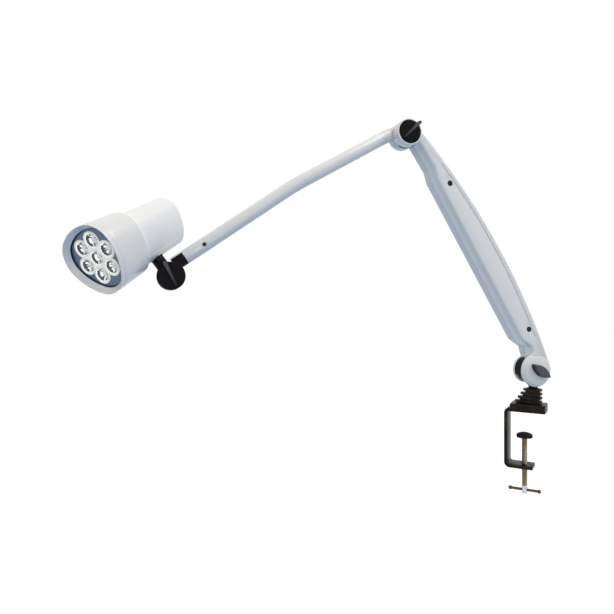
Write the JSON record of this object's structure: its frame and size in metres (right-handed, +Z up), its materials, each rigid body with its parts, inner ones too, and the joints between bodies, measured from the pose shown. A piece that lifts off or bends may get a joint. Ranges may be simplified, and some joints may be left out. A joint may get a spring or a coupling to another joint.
{
  "type": "dental operating light",
  "caption": "Operating light on a table clamp: a moulded lower arm and a slim bent fore-arm on friction joints carry a swivelling lamp head with petalled lenses behind a bezel",
  "frame": {"origin": "on the table surface under the clamp block, on the axis of the base post", "axes": "+Z up along the post; both arms lie in the XZ plane and reach out towards -X; the locking knobs face -Y"},
  "size_m": [0.6785, 0.1428, 0.5424],
  "materials": {
    "white_plastic": "glossy moulded white plastic",
    "white_paint": "glossy white paint over steel tube",
    "black_plastic": "satin black moulded plastic",
    "clamp_paint": "dark brown-black stove paint",
    "screw_steel": "yellowish plated steel with a thread",
    "zinc_steel": "bright zinc plate",
    "black_steel": "blackened steel",
    "tommy_steel": "browned steel",
    "spar_steel": "plain steel strip",
    "pad_rubber": "dark grey rubber",
    "bush_plastic": "low-friction plastic",
    "plate_plastic": "steel-blue satin plastic",
    "holder_plastic": "off-white plastic",
    "clear_optic": "clear moulded lens plastic",
    "board_green": "solder mask over board",
    "led_phosphor": "yellow phosphor",
    "sink_aluminium": "cast aluminium"
  },
  "bodies": {
    "clamp": {"clamp_bracket": "clamp_paint", "clamp_block": "clamp_paint", "post_bush": "bush_plastic", "block_screws": "zinc_steel"},
    "pad": {"pressure_pad": "pad_rubber"},
    "screw": {"clamp_screw": "screw_steel"},
    "tommy": {"tommy_bar": "tommy_steel"},
    "base": {"base_knuckle": "black_plastic"},
    "lower_arm": {"lower_arm_cover_near": "white_plastic", "lower_arm_cover_far": "white_plastic", "arm_spar": "spar_steel", "cover_screws": "black_steel", "base_axle": "zinc_steel", "base_washers": "bush_plastic", "base_cap": "white_plastic", "elbow_axle": "zinc_steel", "elbow_washers": "bush_plastic"},
    "base_lock": {"base_knob": "black_plastic"},
    "elbow_lock": {"elbow_knob": "black_plastic"},
    "fore_arm": {"elbow_tongue": "white_plastic", "fore_arm_tube": "white_paint", "fore_arm_screw": "black_steel", "arm_knuckle": "black_plastic", "head_washer": "bush_plastic", "head_axle": "zinc_steel"},
    "head_lock": {"head_knob": "black_plastic"},
    "head_bracket": {"head_knuckle": "black_plastic", "swivel_pin": "zinc_steel"},
    "head": {"rear_housing": "white_plastic", "front_housing": "white_plastic", "bezel": "white_plastic", "face_plate": "plate_plastic", "optic_holder": "holder_plastic", "optics": "clear_optic", "led_board": "board_green", "leds": "led_phosphor", "heat_sink": "sink_aluminium", "head_screws": "zinc_steel", "driver_board": "board_green", "switch_body": "bush_plastic"},
    "button": {"power_button": "black_plastic"}
  },
  "joints": [
    {"name": "pad_slide", "type": "slide", "parent": "clamp", "child": "pad", "axis": [0, 0, 1], "range_m": [-0.036, 0.031]},
    {"name": "screw_turn", "type": "hinge", "parent": "pad", "child": "screw", "pos_m": [-0.00834, 0.00863, -0.06], "axis": [0, 0, 1], "range_deg": [-10370, 8930]},
    {"name": "tommy_slide", "type": "slide", "parent": "screw", "child": "tommy", "axis": [0.6947, -0.7193, 0], "range_m": [-0.013, 0.013]},
    {"name": "base_swivel", "type": "hinge", "parent": "clamp", "child": "base", "pos_m": [0, 0, 0.03], "axis": [0, 0, 1], "range_deg": [-170, 170]},
    {"name": "base_tilt", "type": "hinge", "parent": "base", "child": "lower_arm", "pos_m": [-0.006, 0, 0.064], "axis": [0, -1, 0], "range_deg": [-47, 42]},
    {"name": "base_knob_turn", "type": "hinge", "parent": "lower_arm", "child": "base_lock", "pos_m": [-0.006, 0, 0.064], "axis": [0, -1, 0], "range_deg": [-180, 180]},
    {"name": "elbow_knob_turn", "type": "hinge", "parent": "lower_arm", "child": "elbow_lock", "pos_m": [-0.21707, 0, 0.39788], "axis": [0, -1, 0], "range_deg": [-180, 180]},
    {"name": "elbow", "type": "hinge", "parent": "lower_arm", "child": "fore_arm", "pos_m": [-0.21707, 0, 0.39788], "axis": [0, -1, 0], "range_deg": [-75, 58]},
    {"name": "head_knob_turn", "type": "hinge", "parent": "fore_arm", "child": "head_lock", "pos_m": [-0.53334, 0, 0.19639], "axis": [0, -1, 0], "range_deg": [-180, 180]},
    {"name": "head_tilt", "type": "hinge", "parent": "fore_arm", "child": "head_bracket", "pos_m": [-0.53334, 0, 0.19639], "axis": [0, -1, 0], "range_deg": [-5, 75]},
    {"name": "head_swivel", "type": "hinge", "parent": "head_bracket", "child": "head", "pos_m": [-0.55135, 0, 0.22038], "axis": [-0.6004, 0, 0.7997], "range_deg": [-131, 48]},
    {"name": "button_press", "type": "slide", "parent": "head", "child": "button", "axis": [-0.5989, -0.6626, -0.4497], "range_m": [0, 0.002], "stiffness_N_per_m": 500, "springref_m": -0.002}
  ],
  "couplings": [
    {"joint": "screw_turn", "follows": "pad_slide", "rad_per_m": 5026.5}
  ]
}
